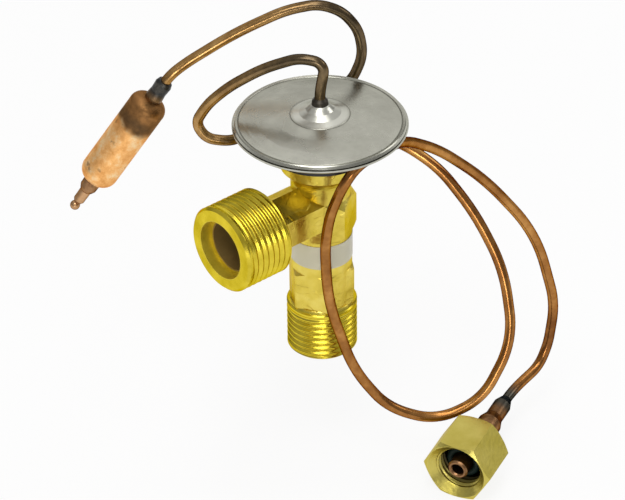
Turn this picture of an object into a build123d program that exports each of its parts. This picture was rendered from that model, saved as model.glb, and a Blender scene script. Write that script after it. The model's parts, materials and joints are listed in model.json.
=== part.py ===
from build123d import *
import math
import os

# Externally equalised thermostatic expansion valve. All lengths are millimetres.
# +Z runs up the valve axis to the power element and -X runs out of the outlet.
# The origin is where the valve axis meets the outlet axis.

# ---- ports ----
INLET_THREAD_D = 16.0
INLET_END_Z = -38.1
INLET_THREAD_TOP_Z = -26.0
INLET_COUNTERBORE_R = 5.3
INLET_COUNTERBORE_DEPTH = 2.6
INLET_BORE_R = 4.6
OUTLET_THREAD_D = 20.0
OUTLET_FACE_X = -29.0
OUTLET_THREAD_LENGTH = 12.5
OUTLET_COUNTERBORE_R = 6.8
OUTLET_COUNTERBORE_DEPTH = 2.7
OUTLET_BORE_R = 5.7
OUTLET_CHANNEL_R = 3.2
PORT_CHAMFER = 0.6

# ---- forged body ----
NECK_R = 6.77
COLLAR_R = 9.0
COLLAR_BOTTOM_Z = 10.2
COLLAR_TOP_Z = 14.6
NECK_TOP_Z = 6.5
HEX_FLATS = 14.0
HEX_TOP_Z = 3.2
HEX_BOTTOM_Z = -6.5
BARREL_R = 6.95
LOWER_HEX_FLATS = 13.6
LOWER_HEX_TOP_Z = -16.0
LOWER_HEX_CORNER_R = 7.7
ARM_FLATS = 11.4
ARM_END_X = -16.4

# ---- inner passages ----
SEAT_LEDGE_Z = -11.0
SEAT_THICKNESS = 2.6
CHANNEL_R = 3.4
CHANNEL_TOP_Z = 2.6
SEAL_POCKET_R = 2.1
SEAL_POCKET_Z = 4.4
GUIDE_TOP_Z = 6.0
STEM_R = 5.4
STEM_BOTTOM_Z = 9.6

# ---- valve train ----
ROD_R = 0.8
ROD_CLEARANCE = 0.05
ORIFICE_R = 1.3
SEAT_CHAMFER = 0.5
BALL_R = 1.9
LIFT = 0.7
CARRIER_R = 3.2
SPRING_WIRE_R = 0.45
SPRING_COIL_R = 2.9
SPRING_TURNS = 4.5
ADJUSTER_TOP_Z = -24.6
ADJUSTER_LENGTH = 3.6
ADJUSTER_HEX = 4.0
STRAINER_R = 3.9
STRAINER_TOP_Z = -28.8
STRAINER_BOTTOM_Z = -35.0

# ---- power element ----
ELEMENT_R = 19.5
GASKET_R = 12.0
GASKET_THICKNESS = 1.3
DRUM_R = 11.6
DRUM_TOP_Z = 18.2
BASE_FLANGE_Z = 20.1
DIAPHRAGM_Z = 20.8
DIAPHRAGM_THICKNESS = 0.2
COVER_Z = 21.0
COVER_R = 19.2
CONE_BASE_R = 6.6
CONE_BASE_Z = 23.3
CONE_TOP_R = 1.9
CONE_TOP_Z = 25.9
PLATE_R = 9.0
PLATE_TOP_Z = 20.05
PLATE_BOTTOM_Z = 18.75
PLATE_STOP_Z = 18.7

# ---- capillary, bulb and equaliser line ----
TUBE_R = 1.2
TUBE_BORE_R = 0.6
BULB_R = 4.4
BULB_TOP = (-14.8, 38.1, 17.9)
BULB_DIRECTION = (-0.442, 0.342, -0.829)
NUT_FACE = (8.96, -35.88, -60.02)
NUT_DIRECTION = (0.915, 0.402, 0.030)
NUT_FLATS = 14.3
NUT_HEX_LENGTH = 11.9
NUT_LENGTH = 12.2
NUT_THREAD_R = 5.55
NUT_MOUTH_R = 7.0
NUT_BORE_DEPTH = 7.3
NUT_CLEARANCE = 0.08
SLEEVE_R = 2.4
SLEEVE_BORE_R = 1.4
SLEEVE_SKIRT_R = 2.85
SLEEVE_FLANGE_R = 4.4
SLEEVE_FLANGE_S = 5.6
SLEEVE_END = 26.7
EQUALISER_PORT_Z = 8.0
EQUALISER_BOSS_R = 2.6
EQUALISER_BOSS_Y = 10.4
EQUALISER_SOCKET_Y = 8.2

# Corner points of the bent lines. Each corner is rounded by as large a bend as it allows.
CAPILLARY_ROUTE = [
    (0, 0, 24.8), (0, 0, 28.8), (1.2, -0.5, 35.9), (-2.5, 3.8, 36.9), (-7.2, 10.6, 33.0),
    (-11.7, 17.1, 27.1), (-14.8, 21.0, 22.0), (-16.8, 23.0, 17.0), (-15.5, 21.0, 13.3),
    (-11.4, 17.8, 12.3), (-4.5, 19.5, 10.6), (5.0, 21.5, 10.4), (14.0, 19.6, 12.0),
    (20.8, 13.9, 15.8), (23.1, 12.0, 23.5), (22.3, 12.7, 30.3), (19.3, 14.9, 35.2),
    (15.2, 18.2, 37.2), (9.4, 22.6, 35.9), (0.2, 29.2, 30.7), (-9.0, 35.0, 24.2),
]
EQUALISER_ROUTE = [
    (0, EQUALISER_SOCKET_Y, EQUALISER_PORT_Z), (0, 14.6, EQUALISER_PORT_Z), (9.0, 16.4, 8.2),
    (18.0, 8.6, 8.0), (23.6, -1.8, 6.0), (28.4, -8.2, 0.6), (32.5, -15.6, -9.5),
    (34.7, -23.2, -22.0), (32.3, -29.5, -37.5), (23.6, -28.8, -50.4), (14.0, -23.7, -54.7),
    (4.9, -17.2, -50.2), (-1.8, -13.0, -38.5), (-6.6, -9.9, -19.0), (-7.4, -9.9, -3.5),
    (-6.6, -10.8, 4.9), (-4.8, -12.9, 12.3), (-1.9, -14.2, 17.0), (6.6, -12.9, 17.1),
    (15.6, -10.4, 14.8), (25.4, -10.8, 8.4), (37.0, -13.8, -3.1), (48.0, -19.8, -19.9),
    (52.4, -22.3, -40.3), (51.0, -21.9, -51.6), (47.9, -22.1, -56.6),
]


def ring(outer_r, inner_r, low, high):
    """Plain tube about the valve axis between two heights."""
    wall = Cylinder(outer_r, high - low, align=(Align.CENTER, Align.CENTER, Align.MIN))
    bore = Cylinder(inner_r, high - low, align=(Align.CENTER, Align.CENTER, Align.MIN))
    return Pos(0, 0, low) * (wall - bore)


def rod(radius, low, high):
    """Plain cylinder about the valve axis between two heights."""
    return Pos(0, 0, low) * Cylinder(radius, high - low, align=(Align.CENTER, Align.CENTER, Align.MIN))


def turned(points):
    """Body of revolution about the valve axis from (radius, height) points."""
    return revolve(Plane.XZ * make_face(Polyline(*points, close=True)), Axis.Z)


def hexagon(flats, low, high, turn=0.0):
    """Hexagonal prism about the valve axis; turn 0 puts flats square to X."""
    face = Rot(0, 0, 30 + turn) * RegularPolygon(flats / 2, 6, major_radius=False)
    return Pos(0, 0, low) * extrude(face, high - low)


def along_outlet(shape):
    """Turn a shape built up +Z so that it runs out along -X."""
    return Rot(0, -90, 0) * shape


def inlet_port():
    """Threaded inlet stub at major diameter, with its end chamfer and shoulder."""
    r = INLET_THREAD_D / 2
    return turned([
        (0, INLET_END_Z), (r - PORT_CHAMFER, INLET_END_Z), (r, INLET_END_Z + PORT_CHAMFER),
        (r, INLET_THREAD_TOP_Z), (r - 0.9, INLET_THREAD_TOP_Z + 0.9), (0, INLET_THREAD_TOP_Z + 0.9),
    ])


def outlet_port():
    """Threaded outlet stub at major diameter, with chamfers at both ends."""
    r = OUTLET_THREAD_D / 2
    low = -OUTLET_FACE_X - OUTLET_THREAD_LENGTH
    high = -OUTLET_FACE_X
    return along_outlet(turned([
        (0, low), (r - 0.5, low), (r, low + 0.5), (r, high - PORT_CHAMFER),
        (r - PORT_CHAMFER, high), (0, high),
    ]))


def outlet_arm():
    """Forged six-sided arm that flares into the back of the outlet stub."""
    arm = extrude(RegularPolygon(ARM_FLATS / 2, 6, major_radius=False), -ARM_END_X)
    start = -ARM_END_X - 2.2
    corner = ARM_FLATS / math.sqrt(3)
    flare = turned([(0, start), (corner - 1.0, start), (8.4, -ARM_END_X + 0.2), (0, -ARM_END_X + 0.2)])
    return along_outlet(arm + flare)


def wrench_hexagon():
    """Upper wrench hexagon, its corners turned down towards the neck and the barrel."""
    corner = HEX_FLATS / math.sqrt(3)
    envelope = turned([
        (0, HEX_BOTTOM_Z - 0.1), (corner - 1.0, HEX_BOTTOM_Z - 0.1), (corner, HEX_BOTTOM_Z + 0.7),
        (corner, HEX_TOP_Z - 1.9), (NECK_R, HEX_TOP_Z), (0, HEX_TOP_Z),
    ])
    return hexagon(HEX_FLATS, HEX_BOTTOM_Z, HEX_TOP_Z) & envelope


def lower_hexagon():
    """Lower wrench hexagon with turned corners, above the inlet thread."""
    prism = hexagon(LOWER_HEX_FLATS, INLET_THREAD_TOP_Z, LOWER_HEX_TOP_Z, 30)
    envelope = turned([
        (0, INLET_THREAD_TOP_Z), (LOWER_HEX_CORNER_R, INLET_THREAD_TOP_Z),
        (LOWER_HEX_CORNER_R, LOWER_HEX_TOP_Z - 0.6), (BARREL_R, LOWER_HEX_TOP_Z), (0, LOWER_HEX_TOP_Z),
    ])
    return prism & envelope


def neck_and_collar():
    """Neck flaring up into the round collar that carries the power element."""
    profile = Polyline(
        (0, HEX_BOTTOM_Z), (NECK_R, HEX_BOTTOM_Z), (NECK_R, NECK_TOP_Z)
    ) + ThreePointArc((NECK_R, NECK_TOP_Z), (7.35, 8.6), (COLLAR_R, COLLAR_BOTTOM_Z))
    profile += Polyline(
        (COLLAR_R, COLLAR_BOTTOM_Z), (COLLAR_R, COLLAR_TOP_Z), (0, COLLAR_TOP_Z), (0, HEX_BOTTOM_Z)
    )
    return revolve(Plane.XZ * make_face(profile), Axis.Z)


def equaliser_boss():
    """Round boss on the far side of the collar for the equaliser line."""
    length = EQUALISER_BOSS_Y - 5.8
    boss = Cylinder(EQUALISER_BOSS_R, length, align=(Align.CENTER, Align.CENTER, Align.MIN))
    return Pos(0, 5.8, EQUALISER_PORT_Z) * Rot(-90, 0, 0) * boss


def vertical_passages():
    """Stepped bores up the valve axis, from the inlet face to the element thread."""
    seat_low = SEAT_LEDGE_Z - SEAT_THICKNESS
    bores = rod(INLET_COUNTERBORE_R, INLET_END_Z - 1, INLET_END_Z + INLET_COUNTERBORE_DEPTH)
    bores += rod(INLET_BORE_R, INLET_END_Z - 1, SEAT_LEDGE_Z)
    bores += rod(CHANNEL_R, seat_low, CHANNEL_TOP_Z)
    bores += rod(ROD_R + ROD_CLEARANCE, 0, GUIDE_TOP_Z)
    bores += rod(SEAL_POCKET_R, SEAL_POCKET_Z, GUIDE_TOP_Z + 0.1)
    bores += rod(STEM_R, GUIDE_TOP_Z, COLLAR_TOP_Z + 1)
    return bores


def outlet_passages():
    """Stepped bores from the outlet face in to the valve axis."""
    face = -OUTLET_FACE_X
    bores = rod(OUTLET_COUNTERBORE_R, face - OUTLET_COUNTERBORE_DEPTH, face + 1)
    bores += rod(OUTLET_BORE_R, face - 11.0, face)
    bores += rod(OUTLET_CHANNEL_R, 0, face - 10.0)
    return along_outlet(bores)


def equaliser_passage():
    """Drilled hole from the boss to the chamber under the diaphragm."""
    drill = Cylinder(TUBE_BORE_R, 8, align=(Align.CENTER, Align.CENTER, Align.MIN))
    socket = Cylinder(TUBE_R, 6, align=(Align.CENTER, Align.CENTER, Align.MIN))
    drill = Pos(0, 4, EQUALISER_PORT_Z) * Rot(-90, 0, 0) * drill
    socket = Pos(0, EQUALISER_SOCKET_Y, EQUALISER_PORT_Z) * Rot(-90, 0, 0) * socket
    return drill + socket


def valve_body():
    """One brass forging, machined all over its ports and bores."""
    solid = inlet_port() + lower_hexagon() + wrench_hexagon() + neck_and_collar()
    solid += rod(BARREL_R, INLET_THREAD_TOP_Z, HEX_BOTTOM_Z + 0.5)
    solid += outlet_arm() + outlet_port() + equaliser_boss()
    return solid - vertical_passages() - outlet_passages() - equaliser_passage()


def orifice_seat():
    """Seat insert pressed up against the ledge; the ball closes its lower chamfer."""
    low = SEAT_LEDGE_Z - SEAT_THICKNESS
    return turned([
        (ORIFICE_R + SEAT_CHAMFER, low), (INLET_BORE_R, low), (INLET_BORE_R, SEAT_LEDGE_Z),
        (ORIFICE_R, SEAT_LEDGE_Z), (ORIFICE_R, low + SEAT_CHAMFER),
    ])


def ball_centre_z():
    """Height of the ball when the valve is open; LIFT above this it meets the 45 degree seat."""
    seat_edge_z = SEAT_LEDGE_Z - SEAT_THICKNESS
    drop = BALL_R * math.sqrt(2) - (ORIFICE_R + SEAT_CHAMFER)
    return seat_edge_z - drop - LIFT - 0.02


def valve_ball():
    """Steel ball, dimpled on top where the push rod bears."""
    ball = Pos(0, 0, ball_centre_z()) * Sphere(BALL_R)
    return ball - rod(ROD_R, ball_centre_z() + BALL_R - 0.2, 0)


def ball_carrier():
    """Cup that holds the ball on the spring and guides both in the bore."""
    top = ball_centre_z() - 0.5
    low = top - 3.0
    cup = turned([
        (0, low), (SPRING_COIL_R - SPRING_WIRE_R - 0.1, low), (SPRING_COIL_R - SPRING_WIRE_R - 0.1, low + 1.2),
        (CARRIER_R + 0.3, low + 1.2), (CARRIER_R + 0.3, low + 1.9), (BALL_R + 0.5, top), (0, top),
    ])
    return cup - Pos(0, 0, ball_centre_z()) * Sphere(BALL_R)


def spring_limits():
    """Lower and upper seats of the superheat spring."""
    return ADJUSTER_TOP_Z, ball_centre_z() - 0.5 - 3.0 + 1.2


def superheat_spring():
    """Round-wire spring between the adjusting nut and the ball carrier."""
    low, high = spring_limits()
    height = high - low - 2 * SPRING_WIRE_R - 0.04
    path = Helix(height / SPRING_TURNS, height, SPRING_COIL_R)
    wire = Plane(path @ 0, z_dir=path % 0) * Circle(SPRING_WIRE_R)
    return Pos(0, 0, low + SPRING_WIRE_R + 0.02) * sweep(wire, path=path)


def adjusting_nut():
    """Threaded ring that sets the superheat, turned by a hexagon key from the inlet."""
    low = ADJUSTER_TOP_Z - ADJUSTER_LENGTH
    plug = turned([
        (0, low), (INLET_BORE_R - 0.4, low), (INLET_BORE_R, low + 0.4), (INLET_BORE_R, ADJUSTER_TOP_Z),
        (0, ADJUSTER_TOP_Z),
    ])
    return plug - hexagon(ADJUSTER_HEX, low - 1, ADJUSTER_TOP_Z + 1)


def inlet_strainer():
    """Drawn cup strainer with rows of slots and a rolled lip."""
    wall = 0.4
    cup = ring(STRAINER_R, STRAINER_R - wall, STRAINER_BOTTOM_Z, STRAINER_TOP_Z)
    cup += rod(STRAINER_R, STRAINER_TOP_Z - wall, STRAINER_TOP_Z)
    cup += ring(INLET_BORE_R, STRAINER_R - wall, STRAINER_BOTTOM_Z, STRAINER_BOTTOM_Z + wall)
    slot = Pos(STRAINER_R, 0, 0) * Box(2, 0.7, 3.6)
    middle = (STRAINER_BOTTOM_Z + STRAINER_TOP_Z) / 2
    for step in range(8):
        cup -= Pos(0, 0, middle) * Rot(0, 0, 45 * step) * slot
    return cup


def strainer_ring():
    """Snap ring that keeps the strainer in the inlet bore."""
    low = STRAINER_BOTTOM_Z - 0.5
    return ring(INLET_BORE_R, STRAINER_R - 0.4, low, STRAINER_BOTTOM_Z) - Pos(0, 5, low) * Box(1.2, 8, 3)


def push_rod():
    """Rod from the buffer plate down to the dimple in the ball."""
    return rod(ROD_R, ball_centre_z() + BALL_R - 0.2, PLATE_BOTTOM_Z)


def rod_seal():
    """Packing ring round the rod, between the outlet and the equalised chamber."""
    section = 0.5 * (SEAL_POCKET_R - ROD_R - ROD_CLEARANCE)
    middle = ROD_R + ROD_CLEARANCE + section
    profile = Plane.XZ * Pos(middle, SEAL_POCKET_Z + section) * Circle(section)
    return revolve(profile, Axis.Z)


def seal_retainer():
    """Pressed washer over the packing ring."""
    return ring(SEAL_POCKET_R, ROD_R + ROD_CLEARANCE, GUIDE_TOP_Z - 0.35, GUIDE_TOP_Z)


def element_gasket():
    """Black sealing ring between the body collar and the power element."""
    return ring(GASKET_R, STEM_R, COLLAR_TOP_Z, COLLAR_TOP_Z + GASKET_THICKNESS)


def element_base():
    """Lower cover: threaded stem, drum and flange, drawn and turned as one piece."""
    floor = COLLAR_TOP_Z + GASKET_THICKNESS
    bore = 3.2
    return turned([
        (bore, STEM_BOTTOM_Z), (STEM_R, STEM_BOTTOM_Z), (STEM_R, floor), (DRUM_R, floor),
        (DRUM_R + 0.4, floor + 0.5), (DRUM_R + 0.4, DRUM_TOP_Z - 0.6), (17.4, BASE_FLANGE_Z),
        (ELEMENT_R - 0.3, BASE_FLANGE_Z), (ELEMENT_R, BASE_FLANGE_Z + 0.3), (ELEMENT_R, DIAPHRAGM_Z),
        (16.4, DIAPHRAGM_Z), (DRUM_R - 0.4, DRUM_TOP_Z + 0.6), (DRUM_R - 0.7, PLATE_STOP_Z - 1.0),
        (8.4, PLATE_STOP_Z - 1.0), (8.4, PLATE_STOP_Z), (6.6, PLATE_STOP_Z), (6.6, floor + 1.0),
        (bore, floor + 1.0),
    ])


def buffer_plate():
    """Plate that carries the diaphragm's movement to the rod, with relief holes."""
    plate = turned([
        (0, PLATE_BOTTOM_Z), (PLATE_R - 0.3, PLATE_BOTTOM_Z), (PLATE_R, PLATE_BOTTOM_Z + 0.3),
        (PLATE_R, PLATE_TOP_Z - 0.5), (PLATE_R - 0.5, PLATE_TOP_Z), (0, PLATE_TOP_Z),
    ])
    for step in range(4):
        plate -= Rot(0, 0, 90 * step + 45) * Pos(5.0, 0, 0) * rod(0.7, PLATE_BOTTOM_Z - 1, PLATE_TOP_Z + 1)
    return plate


def diaphragm_line(offset):
    """Corrugated and slightly dished section, from the clamped rim to the centre."""
    z = DIAPHRAGM_Z + offset
    dish = DIAPHRAGM_Z - PLATE_TOP_Z - 0.01
    return [
        (18.6, z), (16.2, z), (15.2, z - 0.45), (14.2, z - 0.15), (13.2, z - 0.6), (12.2, z - 0.3),
        (11.2, z - 0.7), (9.8, z - dish), (0, z - dish),
    ]


def diaphragm():
    """Thin corrugated disc clamped between the two covers."""
    lower = diaphragm_line(0)
    upper = diaphragm_line(DIAPHRAGM_THICKNESS)
    return turned(lower + upper[::-1])


def cover_outline(offset):
    """Section of the domed cover; offset moves it down by the sheet thickness."""
    return [
        (COVER_R - 0.25 - offset * 0.3, COVER_Z + 0.55 - offset * 0.6),
        (18.75, COVER_Z + 0.75 - offset), (18.1, COVER_Z + 0.5 - offset),
        (14.2, COVER_Z + 1.3 - offset), (10.2, CONE_BASE_Z - 0.38 - offset),
        (CONE_BASE_R, CONE_BASE_Z - offset), (4.7, CONE_BASE_Z + 0.62 - offset),
        (3.2, CONE_BASE_Z + 1.45 - offset),
    ]


def element_cover():
    """Upper cover: rolled rim, shallow dome and the flared cone for the capillary."""
    outer = cover_outline(0)
    inner = cover_outline(0.7)
    top = [(CONE_TOP_R + 0.35, CONE_TOP_Z - 0.25), (CONE_TOP_R, CONE_TOP_Z), (TUBE_R, CONE_TOP_Z)]
    under = [(TUBE_R, CONE_TOP_Z - 1.9), (2.0, CONE_TOP_Z - 1.9)]
    rim = [(17.0, COVER_Z), (COVER_R, COVER_Z)]
    return turned([*outer, *top, *under, *inner[:2:-1], *rim])


def capillary_collar():
    """Dark fillet of solder where the capillary enters the cone."""
    return turned([
        (TUBE_R, CONE_TOP_Z), (CONE_TOP_R, CONE_TOP_Z), (1.75, CONE_TOP_Z + 0.9), (TUBE_R, CONE_TOP_Z + 1.5),
    ])


def bend_radii(points):
    """Bend radius at each corner: 0.45 of the shorter run over the tangent of half the turn."""
    nodes = [Vector(*point) for point in points]
    radii = []
    for before, here, after in zip(nodes, nodes[1:], nodes[2:]):
        first = here - before
        second = after - here
        half_turn = math.radians(first.get_angle(second)) / 2
        radii.append(0.45 * min(first.length, second.length) / math.tan(half_turn))
    return radii


def bent_tube(name, points, outer_r, inner_r):
    """Round tube along straight runs joined by tangent bends."""
    radii = bend_radii(points)
    path = FilletPolyline(*points, radius=radii)
    plane = Plane(path @ 0, z_dir=path % 0)
    tube = sweep(plane * Circle(outer_r), path=path) - sweep(plane * Circle(inner_r), path=path)
    section = math.pi * (outer_r ** 2 - inner_r ** 2)
    print(name, "length %.1f" % path.length, "volume ratio %.4f" % (tube.volume / (section * path.length)))
    print(name, "bend radii", [round(radius, 1) for radius in radii])
    return tube


def bulb_point(distance):
    """Point on the bulb's axis, measured from the top of its neck."""
    return tuple(a + distance * d for a, d in zip(BULB_TOP, BULB_DIRECTION))


def on_bulb(shape):
    """Place a shape built about +Z on the bulb's axis, neck first."""
    return Plane(BULB_TOP, z_dir=BULB_DIRECTION) * shape


def capillary_tube():
    """Capillary from the cone, round the body and over to the bulb."""
    route = CAPILLARY_ROUTE + [bulb_point(-4.5), bulb_point(4.2)]
    return bent_tube("capillary", route, TUBE_R, TUBE_BORE_R)


def bulb_neck_sleeve():
    """Brazed sleeve that joins the capillary to the bulb."""
    return on_bulb(turned([
        (TUBE_R, -2.4), (1.7, -2.3), (2.0, -1.4), (1.85, 0.6), (2.05, 2.4), (1.95, 3.1), (TUBE_R, 3.1),
    ]))


def bulb_shell():
    """Copper bulb with spun-in shoulders at both ends."""
    outer = Polyline((TUBE_R, 3.1), (2.2, 3.1)) + ThreePointArc((2.2, 3.1), (3.8, 3.95), (BULB_R, 5.9))
    outer += Line((BULB_R, 5.9), (BULB_R, 25.4))
    outer += ThreePointArc((BULB_R, 25.4), (3.7, 27.6), (2.0, 28.7))
    outer += Polyline((2.0, 28.7), (0.9, 28.7), (0.9, 27.8), (3.0, 26.6), (3.6, 25.2), (3.6, 6.3),
                      (3.1, 4.9), (TUBE_R, 4.0), (TUBE_R, 3.1))
    return on_bulb(revolve(Plane.XZ * make_face(outer), Axis.Z))


def bulb_end_collar():
    """Short swaged collar at the bulb's lower end."""
    return on_bulb(turned([
        (0.9, 28.7), (1.7, 28.7), (2.05, 29.5), (2.0, 30.9), (1.6, 31.7), (0.9, 31.7),
    ]))


def bulb_fill_tip():
    """Charging tube, pinched off and sealed with a bead."""
    stem = turned([(0, 28.2), (0.9, 28.2), (0.9, 31.7), (1.35, 32.0), (1.3, 35.0), (0.85, 35.7), (0, 35.7)])
    bead = Pos(0, 0, 36.7) * Sphere(1.15)
    return on_bulb(stem + bead)


def nut_point(distance):
    """Point on the equaliser nut's axis, measured in from the nut's open face."""
    return tuple(a + distance * d for a, d in zip(NUT_FACE, NUT_DIRECTION))


def on_nut(shape):
    """Place a shape built about +Z on the nut's axis, open face first."""
    return Plane(NUT_FACE, x_dir=(0.402, -0.915, 0), z_dir=NUT_DIRECTION) * shape


def equaliser_tube():
    """Equaliser line from the body's boss, round its two loops and into the nut's sleeve."""
    route = EQUALISER_ROUTE + [nut_point(33.2), nut_point(22.7)]
    return bent_tube("equaliser", route, TUBE_R, TUBE_BORE_R)


def equaliser_body_joint():
    """Ring of braze round the line at the boss."""
    fillet = turned([(TUBE_R, 0), (2.1, 0), (1.75, 0.8), (TUBE_R, 1.3)])
    return Pos(0, EQUALISER_BOSS_Y, EQUALISER_PORT_Z) * Rot(-90, 0, 0) * fillet


def equaliser_sleeve():
    """Copper end sleeve: rounded nose, sealing flange, skirt and socket for the line."""
    back = NUT_BORE_DEPTH - 0.05
    return on_nut(turned([
        (SLEEVE_BORE_R, 1.2), (1.65, 0.85), (2.05, 0.85), (SLEEVE_R, 1.25), (SLEEVE_R, SLEEVE_FLANGE_S),
        (SLEEVE_FLANGE_R, SLEEVE_FLANGE_S + 0.3), (SLEEVE_FLANGE_R, back), (SLEEVE_R, back),
        (SLEEVE_R, NUT_LENGTH + 0.1), (SLEEVE_SKIRT_R, NUT_LENGTH + 0.3), (SLEEVE_SKIRT_R, 19.3),
        (2.1, 21.7), (2.1, SLEEVE_END), (TUBE_R, SLEEVE_END), (TUBE_R, 22.7), (SLEEVE_BORE_R, 22.2),
    ]))


def equaliser_sleeve_joint():
    """Blackened taper of braze between the sleeve and the line."""
    return on_nut(turned([
        (TUBE_R, SLEEVE_END), (2.1, SLEEVE_END), (1.45, SLEEVE_END + 2.0), (TUBE_R, SLEEVE_END + 2.4),
    ]))


def equaliser_seal():
    """Sealing ring round the nose, resting on the sleeve's flange."""
    radius = 0.85
    centre = Pos(SLEEVE_R + radius + 0.02, SLEEVE_FLANGE_S - radius)
    return on_nut(revolve(Plane.XZ * centre * Circle(radius), Axis.Z))


def equaliser_nut():
    """Female flare nut, threaded bore at major diameter, free to turn on the sleeve."""
    corner = NUT_FLATS / math.sqrt(3)
    prism = extrude(RegularPolygon(NUT_FLATS / 2, 6, major_radius=False), NUT_HEX_LENGTH)
    envelope = turned([
        (0, 0), (NUT_MOUTH_R + 0.12, 0), (corner + 0.05, 0.7), (corner + 0.05, NUT_HEX_LENGTH - 0.7),
        (NUT_FLATS / 2 + 0.1, NUT_HEX_LENGTH), (0, NUT_HEX_LENGTH),
    ])
    boss = rod(6.3, NUT_HEX_LENGTH - 1, NUT_LENGTH)
    bore = turned([
        (0, -1), (NUT_MOUTH_R, -1), (NUT_MOUTH_R, 0), (NUT_THREAD_R, NUT_MOUTH_R - NUT_THREAD_R),
        (NUT_THREAD_R, NUT_BORE_DEPTH), (0, NUT_BORE_DEPTH),
    ])
    return on_nut((prism & envelope) + boss - bore - rod(SLEEVE_R + NUT_CLEARANCE, 0, NUT_LENGTH + 1))


def body_label():
    """Blank identification band wrapped round the barrel."""
    return ring(BARREL_R + 0.12, BARREL_R, -13.6, -7.6)


NODES = {
    "valve_body": valve_body,
    "orifice_seat": orifice_seat,
    "valve_ball": valve_ball,
    "ball_carrier": ball_carrier,
    "superheat_spring": superheat_spring,
    "adjusting_nut": adjusting_nut,
    "inlet_strainer": inlet_strainer,
    "strainer_ring": strainer_ring,
    "push_rod": push_rod,
    "rod_seal": rod_seal,
    "seal_retainer": seal_retainer,
    "element_gasket": element_gasket,
    "element_base": element_base,
    "buffer_plate": buffer_plate,
    "diaphragm": diaphragm,
    "element_cover": element_cover,
    "capillary_tube": capillary_tube,
    "capillary_collar": capillary_collar,
    "bulb_neck_sleeve": bulb_neck_sleeve,
    "bulb_shell": bulb_shell,
    "bulb_end_collar": bulb_end_collar,
    "bulb_fill_tip": bulb_fill_tip,
    "equaliser_tube": equaliser_tube,
    "equaliser_body_joint": equaliser_body_joint,
    "equaliser_sleeve": equaliser_sleeve,
    "equaliser_sleeve_joint": equaliser_sleeve_joint,
    "equaliser_seal": equaliser_seal,
    "equaliser_nut": equaliser_nut,
    "body_label": body_label,
}


def main():
    os.makedirs("parts", exist_ok=True)
    for name, build in NODES.items():
        solid = build()
        export_step(solid, os.path.join("parts", name + ".step"))


main()
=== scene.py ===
import bmesh
import bpy
import json
import math
from collections import namedtuple
from mathutils import Matrix, Vector


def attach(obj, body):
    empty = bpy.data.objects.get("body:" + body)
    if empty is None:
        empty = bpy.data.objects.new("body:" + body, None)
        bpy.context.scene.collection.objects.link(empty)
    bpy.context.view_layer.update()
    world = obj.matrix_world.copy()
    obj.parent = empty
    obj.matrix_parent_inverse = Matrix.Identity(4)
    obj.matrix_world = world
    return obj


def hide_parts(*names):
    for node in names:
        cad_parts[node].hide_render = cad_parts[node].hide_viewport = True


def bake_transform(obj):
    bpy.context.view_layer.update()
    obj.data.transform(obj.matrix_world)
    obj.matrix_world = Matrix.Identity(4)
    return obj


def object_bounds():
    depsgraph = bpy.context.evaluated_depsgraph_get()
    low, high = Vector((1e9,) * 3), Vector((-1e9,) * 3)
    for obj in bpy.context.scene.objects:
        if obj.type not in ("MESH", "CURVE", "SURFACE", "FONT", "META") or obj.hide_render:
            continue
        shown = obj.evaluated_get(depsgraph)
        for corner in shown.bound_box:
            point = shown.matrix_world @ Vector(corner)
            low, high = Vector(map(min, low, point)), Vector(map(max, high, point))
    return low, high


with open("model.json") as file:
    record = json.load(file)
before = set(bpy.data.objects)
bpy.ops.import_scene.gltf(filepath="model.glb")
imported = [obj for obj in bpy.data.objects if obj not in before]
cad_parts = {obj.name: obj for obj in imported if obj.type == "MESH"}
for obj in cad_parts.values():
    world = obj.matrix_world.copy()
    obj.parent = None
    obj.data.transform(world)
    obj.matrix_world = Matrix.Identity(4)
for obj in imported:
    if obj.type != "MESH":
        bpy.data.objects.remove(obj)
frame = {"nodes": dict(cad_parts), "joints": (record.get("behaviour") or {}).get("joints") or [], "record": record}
cad_low, cad_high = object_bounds()
NODES = frame["nodes"]
MOUNTS = {mount["name"]: mount for mount in frame["record"]["mounts"]}
JOINTS = {joint["name"]: joint for joint in frame["joints"]}

# ---- places and sizes, in metres, in the row frame ----
CENTRE = Vector((0, 0, 0))
UP = Vector((0, 0, 1))
DOWN = Vector((0, 0, -1))
OUTWARD = Vector((-1, 0, 0))
INLET_R = MOUNTS["inlet_port"]["dims"]["r_mm"] / 1000
OUTLET_R = MOUNTS["outlet_port"]["dims"]["r_mm"] / 1000
NUT_FACE = Vector(JOINTS["nut_spin"]["pos_m"])
NUT_AXIS = Vector(JOINTS["nut_spin"]["axis"]).normalized()
NUT_R = 0.00555
BULB_AXIS = Vector(MOUNTS["bulb_clamp_seat"]["axis"]).normalized()
CLAMP_SEAT_DEPTH = 0.016
BULB_TOP = Vector(MOUNTS["bulb_clamp_seat"]["pos_m"]) - BULB_AXIS * CLAMP_SEAT_DEPTH
CAPILLARY_RUN = Vector((-0.35, 0.90, 0.25)).normalized()
FLOOR_GAP = 0.0001
FLOOR_Z = cad_low[2] - FLOOR_GAP

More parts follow.
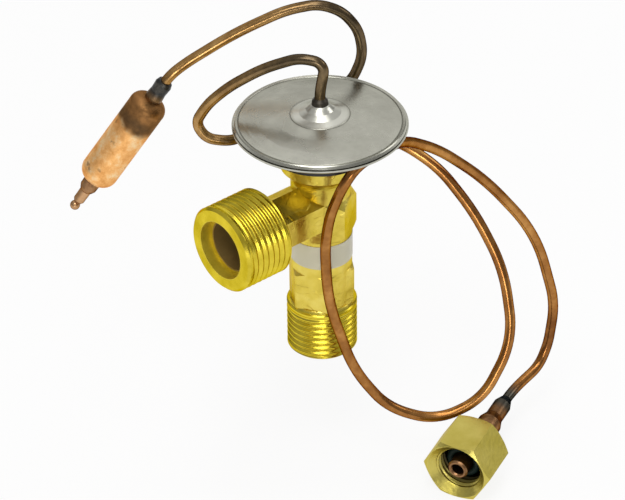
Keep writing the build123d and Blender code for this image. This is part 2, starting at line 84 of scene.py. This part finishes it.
# ---- threads: "wall" is the plain stretch taken away, "skin" the cut stretch put in its place, ----
# ---- and its grooves fade in and out over the first and last turns ----
Thread = namedtuple("Thread", "name origin axis turn radius wall skin pitch depth inside around")
WALL_MARGIN = 0.0002
ROWS_A_TURN = 14
FIRST_TURNS = 0.5
LAST_TURNS = 1.4
TO_OUTLET = Matrix.Rotation(math.radians(-90), 4, "Y")
TO_NUT = Matrix.Translation(NUT_FACE) @ NUT_AXIS.to_track_quat("Z", "Y").to_matrix().to_4x4()
INLET_THREAD = Thread(
    name="inlet", origin=CENTRE, axis=UP, turn=Matrix.Identity(4), radius=INLET_R,
    wall=(-0.0374, -0.0262), skin=(-0.0375, -0.0260), pitch=0.0015, depth=0.00055, inside=False, around=128)
OUTLET_THREAD = Thread(
    name="outlet", origin=CENTRE, axis=OUTWARD, turn=TO_OUTLET, radius=OUTLET_R,
    wall=(0.0170, 0.0284), skin=(0.0170, 0.0284), pitch=0.0015, depth=0.00050, inside=False, around=128)
NUT_THREAD = Thread(
    name="nut", origin=NUT_FACE, axis=NUT_AXIS, turn=TO_NUT, radius=NUT_R,
    wall=(0.0016, 0.0072), skin=(0.00145, 0.0073), pitch=0.00127, depth=0.00060, inside=True, around=96)

# ---- where finishes change, and where the bores' painted shade begins: each pair is the stretch over which one gives way to the next ----
OUTLET_TURNED = (0.0160, 0.0166)
INLET_TURNED = (0.0252, 0.0258)
SOCKET_START = (0.0172, 0.0176)
SOCKET_EDGE = (0.0059, 0.0062)
MOUTH_EDGE = (0.0069, 0.0071)
CHANNEL_EDGE = (0.0036, 0.0042)
CHANNEL_START = (-0.0055, -0.0045)
INLET_BORE_EDGE = (0.0047, 0.0051)
INLET_BORE_START = (0.009, 0.011)
NUT_WALL = (0.0056, 0.0060)
NUT_DEEP = (0.0012, 0.0050)
DRAWN_CENTRE = (0.0058, 0.0066)
NECK_BLACK = (0.0004, 0.0026)
BULB_HEATED = (0.0098, 0.0118)
CAPILLARY_WARM = (0.016, 0.034)

# ---- places that a torch blackened, and how far round each ----
LINE_BODY_JOINT = Vector((0, 0.0104, 0.008))
LINE_BODY_BURN = (0.002, 0.006)
LINE_SLEEVE_JOINT = NUT_FACE + NUT_AXIS * 0.0270
LINE_SLEEVE_BURN = (0.0035, 0.0085)
SLEEVE_END = NUT_FACE + NUT_AXIS * 0.0268
SLEEVE_BURN = (0.0022, 0.0045)

# ---- pressed rings of the covers: radius and half width, the inner and outer ones also darkened with painted shade; and the darkest ring of the bulb's heated end ----
INNER_SEAM = (0.00665, 0.00016)
OUTER_SEAM = (0.0181, 0.00018)
SOFT_RING = (0.0165, 0.0005)
BULB_DARK_RING = (0.0090, 0.0022)

# ---- how deep each finish's grain is, and how far the bulb's heat tint strays ----
BODY_GRAIN = 0.00022
NUT_GRAIN = 0.00007
BULB_GRAIN = 0.00006
COVER_GRAIN = 0.00006
BULB_STRAY = 0.004

# ---- light: name, place, width, height and power of each lamp ----
LAMPS = (
    ("key", (-0.44, -0.26, 0.85), 0.34, 0.34, 1.9),
    ("strip", (-0.22, -0.34, 0.92), 0.26, 1.30, 2.9),
    ("top", (0.15, -0.02, 1.00), 0.45, 0.45, 1.0),
    ("fill", (0.75, -0.35, 0.50), 0.35, 0.35, 0.8),
    ("low", (-0.66, -0.74, 0.06), 0.24, 0.20, 1.4),
    ("back", (0.50, 0.62, 0.56), 1.20, 1.20, 1.9),
)

# ---- sky and floor: the sky's strength changes between two heights of a unit direction ----
SKY_HEIGHTS = (0.05, 0.60)
SKY_STRENGTHS = (0.24, 0.45)
FLOOR_SIZE = 40
FLOOR_GREY = (0.92, 0.92, 0.92)
FLOOR_SEEN_WHITE = 0.86

# ---- camera: angles in degrees, the distance to the point it looks at, and its lens in millimetres ----
CAMERA_AZIMUTH = 229.86063
CAMERA_ELEVATION = 34.52100
CAMERA_ROLL = -0.66621
CAMERA_DISTANCE = 0.8
CAMERA_TARGET = Vector((-0.005454, -0.003351, -0.008836))
LENS = 206.46
SENSOR_WIDTH = 36
CLIP_START = 0.05
CLIP_END = 20

# ---- colours that several finishes share ----
# painted shade: near-black edge tint that darkens the copper's grazing reflections
COPPER_EDGE_SHADE = (0.06, 0.04, 0.03)
BURNT = (0.085, 0.080, 0.065)


# ---- node materials ----
class Mat:
    """A material whose nodes are added one line at a time."""

    def __init__(self, name):
        self.material = bpy.data.materials.new(name)
        self.material.use_nodes = True
        self.tree = self.material.node_tree
        self.tree.nodes.clear()
        self.out = self.tree.nodes.new("ShaderNodeOutputMaterial")
        self.bsdf = self.tree.nodes.new("ShaderNodeBsdfPrincipled")
        self.tree.links.new(self.bsdf.outputs[0], self.out.inputs[0])
        self.coord = self.tree.nodes.new("ShaderNodeTexCoord").outputs["Object"]

    def put(self, socket, value):
        """Links a socket, or sets a constant on it."""
        if isinstance(value, bpy.types.NodeSocket):
            self.tree.links.new(value, socket)
        elif isinstance(value, tuple) and len(value) == 3 and socket.type == "RGBA":
            socket.default_value = (*value, 1)
        else:
            socket.default_value = value

    def set(self, **values):
        """Values for the shader's own sockets; returns the finished material."""
        for key, value in values.items():
            self.put(self.bsdf.inputs[key.replace("_", " ")], value)
        return self.material

    def math(self, operation, a, b):
        node = self.tree.nodes.new("ShaderNodeMath")
        node.operation = operation
        self.put(node.inputs[0], a)
        self.put(node.inputs[1], b)
        return node.outputs[0]

    def plus(self, a, b):
        return self.math("ADD", a, b)

    def minus(self, a, b):
        return self.math("SUBTRACT", a, b)

    def times(self, a, b):
        return self.math("MULTIPLY", a, b)

    def larger(self, a, b):
        return self.math("MAXIMUM", a, b)

    def vector(self, operation, a, b=CENTRE, output="Vector"):
        node = self.tree.nodes.new("ShaderNodeVectorMath")
        node.operation = operation
        self.put(node.inputs[0], a)
        self.put(node.inputs[1], tuple(b))
        return node.outputs[output]

    def along(self, origin, axis):
        """Distance along an axis from a point, in metres."""
        return self.minus(self.vector("DOT_PRODUCT", self.coord, axis, "Value"), origin.dot(axis))

    def around(self, origin, axis):
        """Distance from an axis through a point, in metres."""
        arm = self.vector("CROSS_PRODUCT", self.vector("SUBTRACT", self.coord, origin), axis)
        return self.vector("LENGTH", arm, output="Value")

    def remap(self, value, low, high, a=0.0, b=1.0):
        """Smooth change from a at the low value to b at the high one."""
        node = self.tree.nodes.new("ShaderNodeMapRange")
        node.interpolation_type = "SMOOTHSTEP"
        for i, part in enumerate((value, low, high, a, b)):
            self.put(node.inputs[i], part)
        return node.outputs[0]

    def beyond(self, value, fade):
        """0 below the first of two values, 1 above the second."""
        return self.remap(value, *fade)

    def within(self, value, fade):
        """1 below the first of two values, 0 above the second."""
        return self.remap(value, *fade, 1.0, 0.0)

    def near(self, point, fade):
        """1 at a point, fading to 0 between two distances from it."""
        return self.within(self.vector("DISTANCE", self.coord, point, "Value"), fade)

    def band(self, value, ring):
        """Narrow bump of height 1 about one value, given with its half width."""
        middle, half = ring
        return self.within(self.math("ABSOLUTE", self.minus(value, middle), 0.0), (0.0, half))

    def noise(self, scale, detail=3, rough=0.6, vector=None):
        node = self.tree.nodes.new("ShaderNodeTexNoise")
        self.put(node.inputs["Vector"], vector or self.coord)
        self.put(node.inputs["Scale"], scale)
        self.put(node.inputs["Detail"], detail)
        self.put(node.inputs["Roughness"], rough)
        return node.outputs[0]

    def stretch(self, scale):
        """The object's coordinates, scaled apart."""
        node = self.tree.nodes.new("ShaderNodeMapping")
        self.put(node.inputs["Vector"], self.coord)
        self.put(node.inputs["Scale"], scale)
        return node.outputs[0]

    def ramp(self, value, *stops):
        """Colour or grey ramp from (position, colour or grey) stops."""
        node = self.tree.nodes.new("ShaderNodeValToRGB")
        self.put(node.inputs[0], value)
        elements = node.color_ramp.elements
        while len(elements) < len(stops):
            elements.new(0.5)
        for element, (place, colour) in zip(elements, stops):
            element.position = place
            element.color = (*colour, 1) if isinstance(colour, tuple) else (colour, colour, colour, 1)
        return node.outputs[0]

    def mix(self, factor, a, b):
        node = self.tree.nodes.new("ShaderNodeMix")
        node.data_type = "RGBA"
        self.put(node.inputs[0], factor)
        self.put(node.inputs[6], a)
        self.put(node.inputs[7], b)
        return node.outputs[2]

    def bump(self, height, depth):
        node = self.tree.nodes.new("ShaderNodeBump")
        self.put(node.inputs["Height"], height)
        self.put(node.inputs["Distance"], depth)
        return node.outputs[0]

    def film(self, patch):
        """Slow and fine unevenness of an oxide film."""
        slow = self.noise(patch, 4, 0.65)
        fine = self.noise(patch * 9)
        return self.plus(self.times(slow, 0.75), self.times(fine, 0.25))


def plain(name, colour, rough, metal=0.0, **more):
    """A finish that is the same all over."""
    return Mat(name).set(Base_Color=colour, Roughness=rough, Metallic=metal, **more)


def brass_body():
    """Yellow brass: forged skin on the body, turned ports, bores darkened with painted shade."""
    mat = Mat("forged_brass")
    out = mat.along(CENTRE, OUTWARD)
    down = mat.along(CENTRE, DOWN)
    side = mat.around(CENTRE, OUTWARD)
    turned = mat.larger(mat.beyond(out, OUTLET_TURNED), mat.beyond(down, INLET_TURNED))

    forged = mat.ramp(mat.noise(120), (0.3, (0.52, 0.39, 0.045)), (0.5, (0.74, 0.58, 0.095)),
                      (0.72, (0.90, 0.76, 0.20)))
    cut = mat.ramp(mat.noise(200), (0.3, (0.56, 0.43, 0.030)), (0.7, (0.80, 0.64, 0.065)))
    socket = mat.times(mat.within(side, SOCKET_EDGE), mat.beyond(out, SOCKET_START))
    channel = mat.times(mat.within(side, CHANNEL_EDGE), mat.beyond(out, CHANNEL_START))
    inlet = mat.times(mat.within(mat.around(CENTRE, UP), INLET_BORE_EDGE), mat.beyond(down, INLET_BORE_START))
    # painted shade: the insides of the bores are marked for a dark brown base colour
    bore_shade = mat.larger(mat.larger(socket, channel), inlet)
    mouth = mat.times(mat.within(side, MOUTH_EDGE), mat.beyond(out, SOCKET_START))

    skin = mat.noise(260, 4)
    pits = mat.noise(900)
    folds = mat.ramp(mat.noise(110, 2, 0.5, mat.stretch((1, 1, 2.4))),
                     (0.50, 0.0), (0.515, 1.0), (0.57, 1.0), (0.62, 0.0))
    lathe = mat.noise(1400, 2, 0.5)
    relief = mat.plus(mat.times(skin, 0.8), mat.times(pits, 0.35))
    relief = mat.plus(relief, mat.times(folds, 0.22))
    relief = mat.times(relief, mat.minus(1.0, turned))
    relief = mat.plus(relief, mat.times(mat.times(lathe, turned), 0.05))
    rough = mat.mix(turned, mat.ramp(skin, (0.35, 0.26), (0.7, 0.42)), (0.26, 0.26, 0.26))
    # painted shade: dark brown base colour inside the bores
    return mat.set(Base_Color=mat.mix(bore_shade, mat.mix(turned, forged, cut), (0.36, 0.25, 0.09)),
                   Roughness=mat.mix(mouth, rough, (0.42, 0.42, 0.42)),
                   Metallic=mat.remap(mat.larger(bore_shade, mouth), 0.0, 1.0, 1.0, 0.6),
                   Normal=mat.bump(relief, BODY_GRAIN), Specular_Tint=(0.75, 0.62, 0.25))


def nut_brass():
    """Drawn hexagon brass, a little greener than the body, with painted shade far inside the nut."""
    mat = Mat("nut_brass")
    tone = mat.ramp(mat.noise(150), (0.3, (0.54, 0.45, 0.09)), (0.7, (0.68, 0.58, 0.16)))
    inside = mat.within(mat.around(NUT_FACE, NUT_AXIS), NUT_WALL)
    # painted shade: near-black far inside the nut's threaded hole
    deep_shade = mat.times(inside, mat.beyond(mat.along(NUT_FACE, NUT_AXIS), NUT_DEEP))
    return mat.set(Base_Color=mat.mix(deep_shade, tone, (0.055, 0.045, 0.02)), Roughness=0.34, Metallic=1.0,
                   Normal=mat.bump(mat.noise(900), NUT_GRAIN), Specular_Tint=(0.75, 0.65, 0.3))


def old_copper(name, dark, middle, light, rough, patch):
    """Copper or braze with an uneven oxide film."""
    mat = Mat(name)
    tone = mat.ramp(mat.film(patch), (0.36, dark), (0.5, middle), (0.66, light))
    return mat.set(Base_Color=tone, Roughness=rough, Metallic=1.0, Specular_Tint=COPPER_EDGE_SHADE)


def sleeve_copper():
    """Brown sleeve, blackened where the line was brazed into it."""
    mat = Mat("sleeve_copper")
    tone = mat.ramp(mat.film(120), (0.36, (0.16, 0.085, 0.040)), (0.5, (0.32, 0.17, 0.08)),
                    (0.66, (0.50, 0.29, 0.15)))
    tone = mat.mix(mat.near(SLEEVE_END, SLEEVE_BURN), tone, BURNT)
    return mat.set(Base_Color=tone, Roughness=0.34, Metallic=1.0, Specular_Tint=COPPER_EDGE_SHADE)


def line_copper():
    """Bright red-brown line, blackened where it was brazed to the nut's sleeve and the body."""
    mat = Mat("line_copper")
    tone = mat.ramp(mat.film(60), (0.36, (0.20, 0.078, 0.024)), (0.5, (0.37, 0.160, 0.044)),
                    (0.66, (0.60, 0.300, 0.090)))
    burnt = mat.larger(mat.near(LINE_SLEEVE_JOINT, LINE_SLEEVE_BURN),
                       mat.near(LINE_BODY_JOINT, LINE_BODY_BURN))
    return mat.set(Base_Color=mat.mix(burnt, tone, BURNT), Roughness=0.25, Metallic=1.0,
                   Specular_Tint=COPPER_EDGE_SHADE)


def capillary_copper():
    """Olive-brown near the power element, warmer towards the bulb."""
    mat = Mat("capillary_copper")
    oxide = mat.film(70)
    near = mat.ramp(oxide, (0.38, (0.085, 0.062, 0.036)), (0.52, (0.155, 0.110, 0.060)),
                    (0.66, (0.28, 0.195, 0.10)))
    warm = mat.ramp(oxide, (0.38, (0.22, 0.120, 0.042)), (0.52, (0.44, 0.25, 0.088)),
                    (0.66, (0.68, 0.42, 0.16)))
    far = mat.beyond(mat.along(CENTRE, CAPILLARY_RUN), CAPILLARY_WARM)
    return mat.set(Base_Color=mat.mix(far, near, warm), Roughness=0.24, Metallic=0.93,
                   Specular_Tint=COPPER_EDGE_SHADE)


def bulb_copper():
    """Pale copper, browned by heat next to the neck, with small dark spots."""
    mat = Mat("bulb_copper")
    wave = mat.times(mat.minus(mat.noise(140), 0.5), BULB_STRAY)
    height = mat.plus(mat.along(BULB_TOP, BULB_AXIS), wave)
    base = mat.ramp(mat.noise(260, 5, 0.7), (0.34, (0.72, 0.32, 0.09)), (0.5, (0.95, 0.52, 0.19)),
                    (0.64, (1.0, 0.74, 0.42)))
    spots = mat.ramp(mat.noise(420, 2, 0.5), (0.64, 0.0), (0.70, 1.0))
    tone = mat.mix(mat.times(spots, 0.6), base, (0.28, 0.15, 0.07))
    burnt = mat.ramp(mat.noise(220, 4, 0.7), (0.35, (0.13, 0.065, 0.022)), (0.6, (0.33, 0.16, 0.055)))
    burnt = mat.mix(mat.times(mat.band(height, BULB_DARK_RING), 0.55), burnt, (0.085, 0.055, 0.03))
    return mat.set(Base_Color=mat.mix(mat.within(height, BULB_HEATED), tone, burnt),
                   Roughness=mat.ramp(mat.noise(300), (0.3, 0.36), (0.7, 0.50)), Metallic=0.9,
                   Normal=mat.bump(mat.noise(600), BULB_GRAIN), Specular_Tint=(0.8, 0.6, 0.45))


def neck_scale():
    """Black braze at the capillary's side of the bulb's neck, brown at the bulb."""
    mat = Mat("neck_scale")
    black = mat.ramp(mat.film(160), (0.36, (0.018, 0.018, 0.017)), (0.5, (0.05, 0.05, 0.048)),
                     (0.66, (0.12, 0.11, 0.09)))
    brown = mat.ramp(mat.film(120), (0.36, (0.12, 0.07, 0.03)), (0.66, (0.34, 0.20, 0.09)))
    tone = mat.mix(mat.beyond(mat.along(BULB_TOP, BULB_AXIS), NECK_BLACK), black, brown)
    return mat.set(Base_Color=tone, Roughness=0.38, Metallic=0.9)


def satin_steel():
    """Satin stainless sheet with a faint mottle and the pressed rings of the covers, the two sharp rings darkened
    with painted shade.
    """
    mat = Mat("satin_steel")
    radius = mat.around(CENTRE, UP)
    mottle = mat.ramp(mat.noise(120, 5, 0.65), (0.32, (0.42, 0.415, 0.355)), (0.5, (0.48, 0.475, 0.41)),
                      (0.68, (0.56, 0.555, 0.48)))
    drawn = mat.within(radius, DRAWN_CENTRE)
    seam_and_shade = mat.larger(mat.band(radius, INNER_SEAM), mat.band(radius, OUTER_SEAM))
    rings = mat.larger(seam_and_shade, mat.times(mat.band(radius, SOFT_RING), 0.25))
    relief = mat.minus(mat.times(mat.noise(1500, 2, 0.5), 0.03), rings)
    tone = mat.mix(drawn, mottle, (0.66, 0.655, 0.58))
    satin = mat.ramp(mat.noise(90), (0.3, 0.23), (0.7, 0.30))
    # painted shade: the two sharp rings' creases darkened in the base colour, besides their relief
    return mat.set(Base_Color=mat.mix(mat.times(seam_and_shade, 0.6), tone, (0.15, 0.15, 0.13)),
                   Roughness=mat.mix(drawn, satin, (0.28, 0.28, 0.28)), Metallic=1.0,
                   Normal=mat.bump(relief, COVER_GRAIN), Specular_Tint=(0.8, 0.8, 0.75))


def label_film():
    """Thin pale film, left blank."""
    mat = Mat("label_film")
    tone = mat.ramp(mat.noise(90, 2, 0.5), (0.3, (0.56, 0.53, 0.39)), (0.7, (0.70, 0.67, 0.51)))
    return mat.set(Base_Color=tone, Roughness=0.3)


BRASS = brass_body()
NUT = nut_brass()
TURNED = plain("turned_brass", (0.72, 0.55, 0.12), 0.28, 1.0)
STEEL = satin_steel()
POLISHED = plain("polished_steel", (0.55, 0.55, 0.56), 0.18, 1.0)
WIRE = plain("wire_steel", (0.35, 0.35, 0.36), 0.3, 1.0)
BLACK = plain("black_rubber", (0.010, 0.010, 0.010), 0.5)
GREEN = plain("dark_seal", (0.004, 0.014, 0.011), 0.55, Specular_IOR_Level=0.2)
SOLDER = plain("dull_solder", (0.055, 0.048, 0.038), 0.40, 0.9)
SCALE = old_copper("braze_scale", (0.018, 0.020, 0.021), (0.045, 0.050, 0.050), (0.10, 0.10, 0.09), 0.42, 160)
TIP = old_copper("tip_copper", (0.28, 0.15, 0.07), (0.48, 0.27, 0.13), (0.64, 0.38, 0.20), 0.34, 120)
SLEEVE = sleeve_copper()
FINISH = {
    "valve_body": BRASS, "orifice_seat": TURNED, "ball_carrier": TURNED, "adjusting_nut": TURNED,
    "valve_ball": POLISHED, "push_rod": POLISHED, "superheat_spring": WIRE, "strainer_ring": WIRE,
    # element_gasket is black all over, filling the dark band under the element's cover
    "inlet_strainer": POLISHED, "seal_retainer": POLISHED, "rod_seal": BLACK, "element_gasket": BLACK,
    "element_base": STEEL, "element_cover": STEEL, "buffer_plate": POLISHED, "diaphragm": POLISHED,
    "capillary_tube": capillary_copper(), "capillary_collar": SOLDER, "bulb_neck_sleeve": neck_scale(),
    "bulb_shell": bulb_copper(), "bulb_end_collar": SLEEVE, "bulb_fill_tip": TIP,
    "equaliser_tube": line_copper(), "equaliser_body_joint": SCALE, "equaliser_sleeve": SLEEVE,
    "equaliser_sleeve_joint": SCALE, "equaliser_seal": GREEN, "equaliser_nut": NUT,
    "body_label": label_film(),
}
for name, material in FINISH.items():
    NODES[name].data.materials.clear()
    NODES[name].data.materials.append(material)


# ---- screw threads ----
def thread_skin(thread):
    """Threaded skin made about +Z and turned into place; its ends run out into the plain cylinder."""
    low, high = thread.skin
    rows = int((high - low) / thread.pitch * ROWS_A_TURN)
    points, faces = [], []
    for row in range(rows + 1):
        z = low + (high - low) * row / rows
        run_out = min(1.0, (z - low) / (thread.pitch * FIRST_TURNS), (high - z) / (thread.pitch * LAST_TURNS))
        for i in range(thread.around):
            angle = 2 * math.pi * i / thread.around
            phase = (z / thread.pitch - i / thread.around) % 1.0
            groove = thread.depth * (0.5 - 0.5 * math.cos(2 * math.pi * phase)) * max(0.0, run_out)
            r = thread.radius - groove
            points.append((r * math.cos(angle), r * math.sin(angle), z))
    for row in range(rows):
        start = row * thread.around
        for i in range(thread.around):
            k = (i + 1) % thread.around
            quad = (start + i, start + k, start + thread.around + k, start + thread.around + i)
            faces.append(quad[::-1] if thread.inside else quad)
    mesh = bpy.data.meshes.new(thread.name)
    mesh.from_pydata(points, [], faces)
    mesh.transform(thread.turn)
    mesh.polygons.foreach_set("use_smooth", [True] * len(mesh.polygons))
    return mesh


def on_wall(thread, point):
    """True on the plain cylinder that the solid has in a thread's place."""
    along = (point - thread.origin).dot(thread.axis)
    away = (point - thread.origin - thread.axis * along).length
    return thread.wall[0] < along < thread.wall[1] and abs(away - thread.radius) < WALL_MARGIN


def without_walls(source, threads):
    """Copy of a CAD mesh without the plain cylinders of its threads."""
    copy = source.data.copy()
    editing = bmesh.new()
    editing.from_mesh(copy)
    gone = [f for f in editing.faces if any(on_wall(thread, f.calc_center_median()) for thread in threads)]
    bmesh.ops.delete(editing, geom=gone, context="FACES")
    editing.to_mesh(copy)
    editing.free()
    return copy


def threaded(node, body, threads):
    """Stands for a CAD node: the same form, with its thread lengths cut as real threads."""
    whole = bpy.data.objects.new(node + ".threaded", without_walls(NODES[node], threads))
    parts = [whole] + [bpy.data.objects.new("skin", thread_skin(thread)) for thread in threads]
    bpy.ops.object.select_all(action="DESELECT")
    for part in parts:
        bpy.context.collection.objects.link(part)
        part.data.materials.clear()
        part.data.materials.append(FINISH[node])
        part.select_set(True)
    bpy.context.view_layer.objects.active = whole
    bpy.ops.object.join()
    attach(whole, body)
    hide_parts(node)


threaded("valve_body", "valve", (INLET_THREAD, OUTLET_THREAD))
threaded("equaliser_nut", "swivel_nut", (NUT_THREAD,))


# ---- pieces that flex with the valve's lift in the real valve, copied here as they stand ----
def flexing(node):
    """Stands for a CAD node: a copy of the same form, its placement baked into the mesh."""
    piece = bpy.data.objects.new(node + ".flexing", NODES[node].data.copy())
    bpy.context.collection.objects.link(piece)
    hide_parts(node)
    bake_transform(piece)


flexing("superheat_spring")
flexing("diaphragm")


# ---- floor, light and camera ----
def add_floor():
    """White paper floor that keeps the valve's shadow."""
    bpy.ops.mesh.primitive_plane_add(size=FLOOR_SIZE, location=(0, 0, FLOOR_Z))
    floor = bpy.context.object
    floor.name = "floor"
    paper = Mat("paper")
    paper.set(Base_Color=FLOOR_GREY, Roughness=0.9)
    white = paper.tree.nodes.new("ShaderNodeEmission")
    white.inputs["Strength"].default_value = 1.0
    path = paper.tree.nodes.new("ShaderNodeLightPath")
    seen = paper.larger(path.outputs["Is Camera Ray"], path.outputs["Is Glossy Ray"])
    seen = paper.larger(seen, path.outputs["Is Transmission Ray"])
    blend = paper.tree.nodes.new("ShaderNodeMixShader")
    paper.put(blend.inputs[0], paper.times(seen, FLOOR_SEEN_WHITE))
    paper.put(blend.inputs[1], paper.bsdf.outputs[0])
    paper.put(blend.inputs[2], white.outputs[0])
    paper.put(paper.out.inputs[0], blend.outputs[0])
    floor.data.materials.append(paper.material)


def add_lamps():
    """Soft lamps, each turned to face the middle of the valve."""
    for name, place, width, height, power in LAMPS:
        lamp = bpy.data.lights.new(name, "AREA")
        lamp.shape = "RECTANGLE"
        lamp.size = width
        lamp.size_y = height
        lamp.energy = power
        holder = bpy.data.objects.new(name, lamp)
        holder.location = place
        holder.rotation_euler = (-Vector(place)).to_track_quat("-Z", "Y").to_euler()
        bpy.context.collection.objects.link(holder)


def add_sky():
    """Broad white sky, dimmer at the horizon than overhead."""
    world = bpy.data.worlds.new("studio")
    bpy.context.scene.world = world
    world.use_nodes = True
    tree = world.node_tree
    sky = tree.nodes["Background"]
    sky.inputs["Color"].default_value = (1, 1, 1, 1)
    coord = tree.nodes.new("ShaderNodeTexCoord")
    split = tree.nodes.new("ShaderNodeSeparateXYZ")
    fade = tree.nodes.new("ShaderNodeMapRange")
    fade.interpolation_type = "SMOOTHSTEP"
    for i, value in enumerate(SKY_HEIGHTS + SKY_STRENGTHS, start=1):
        fade.inputs[i].default_value = value
    tree.links.new(coord.outputs["Generated"], split.inputs[0])
    tree.links.new(split.outputs["Z"], fade.inputs[0])
    tree.links.new(fade.outputs[0], sky.inputs["Strength"])


def add_camera():
    """Long lens looking down at the valve from its outlet side."""
    azimuth, elevation, roll = map(math.radians, (CAMERA_AZIMUTH, CAMERA_ELEVATION, CAMERA_ROLL))
    level = math.cos(elevation)
    back = Vector((level * math.cos(azimuth), level * math.sin(azimuth), math.sin(elevation)))
    turn = back.to_track_quat("Z", "Y").to_matrix().to_4x4() @ Matrix.Rotation(roll, 4, "Z")
    data = bpy.data.cameras.new("camera")
    data.sensor_width = SENSOR_WIDTH
    data.lens = LENS
    data.clip_start = CLIP_START
    data.clip_end = CLIP_END
    camera = bpy.data.objects.new("camera", data)
    camera.matrix_world = Matrix.Translation(CAMERA_TARGET + back * CAMERA_DISTANCE) @ turn
    bpy.context.collection.objects.link(camera)
    bpy.context.scene.camera = camera


add_floor()
add_lamps()
add_sky()
add_camera()
bpy.context.scene.view_settings.view_transform = "Standard"
